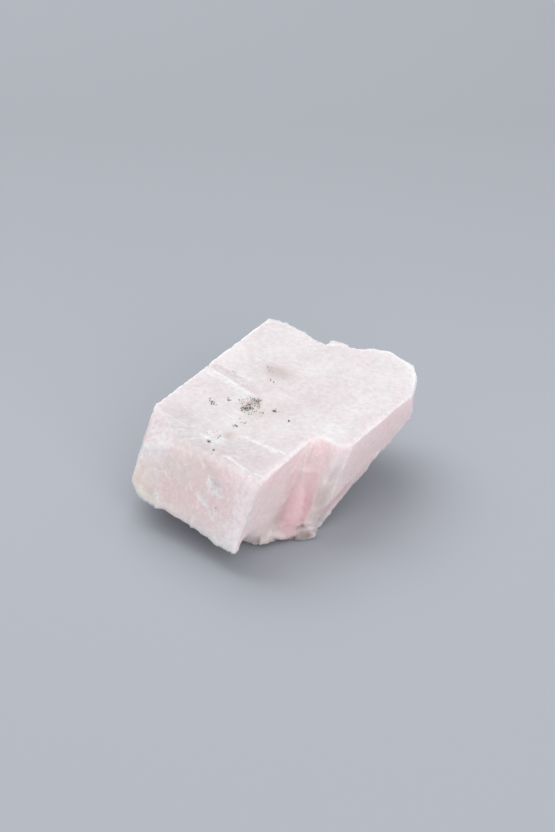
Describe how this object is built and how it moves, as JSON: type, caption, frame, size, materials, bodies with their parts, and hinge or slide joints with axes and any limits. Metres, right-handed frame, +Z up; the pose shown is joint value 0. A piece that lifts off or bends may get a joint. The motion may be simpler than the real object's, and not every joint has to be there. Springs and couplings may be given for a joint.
{
  "type": "calcite specimen",
  "caption": "Pale pink calcite cleavage fragment, a stepped oblique block with milky frosted edges and a rough underside, for display on a shelf.",
  "frame": {"origin": "on the surface that the specimen rests on, under the middle of its bounding box", "axes": "+Z up from the resting face, +Y along the long way to the back, +X to the right"},
  "size_m": [0.0958, 0.1114, 0.0344],
  "materials": {
    "calcite": "milky, satin cleavage faces with frosted edges"
  },
  "bodies": {
    "root": {"calcite_crystal": "calcite"}
  },
  "joints": []
}
